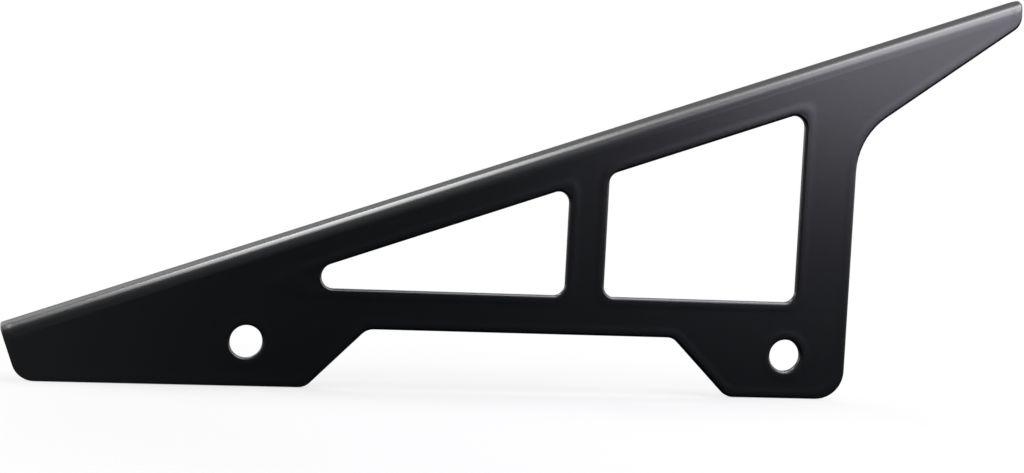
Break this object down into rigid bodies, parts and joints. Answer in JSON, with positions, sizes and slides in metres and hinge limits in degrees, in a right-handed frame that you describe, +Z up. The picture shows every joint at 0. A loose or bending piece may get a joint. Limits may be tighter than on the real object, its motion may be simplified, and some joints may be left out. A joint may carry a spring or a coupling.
{
  "type": "motorcycle chain guard",
  "caption": "Folded sheet-metal chain guard: flat side plate with open windows, bolt-hole lobes, a rising rear arm and a lip folded back over the chain along the slanted top edge.",
  "frame": {"origin": "midway between the bolt holes, on the back face of the side plate, which seats on the swingarm", "axes": "+X from the front of the motorcycle to the rear along the line of the holes, +Y from the plate's back face towards the chain and wheel, +Z up"},
  "size_m": [0.3184, 0.015, 0.1292],
  "materials": {
    "powder_coat": "satin black powder coat"
  },
  "bodies": {
    "root": {"chain_guard": "powder_coat"}
  },
  "joints": []
}
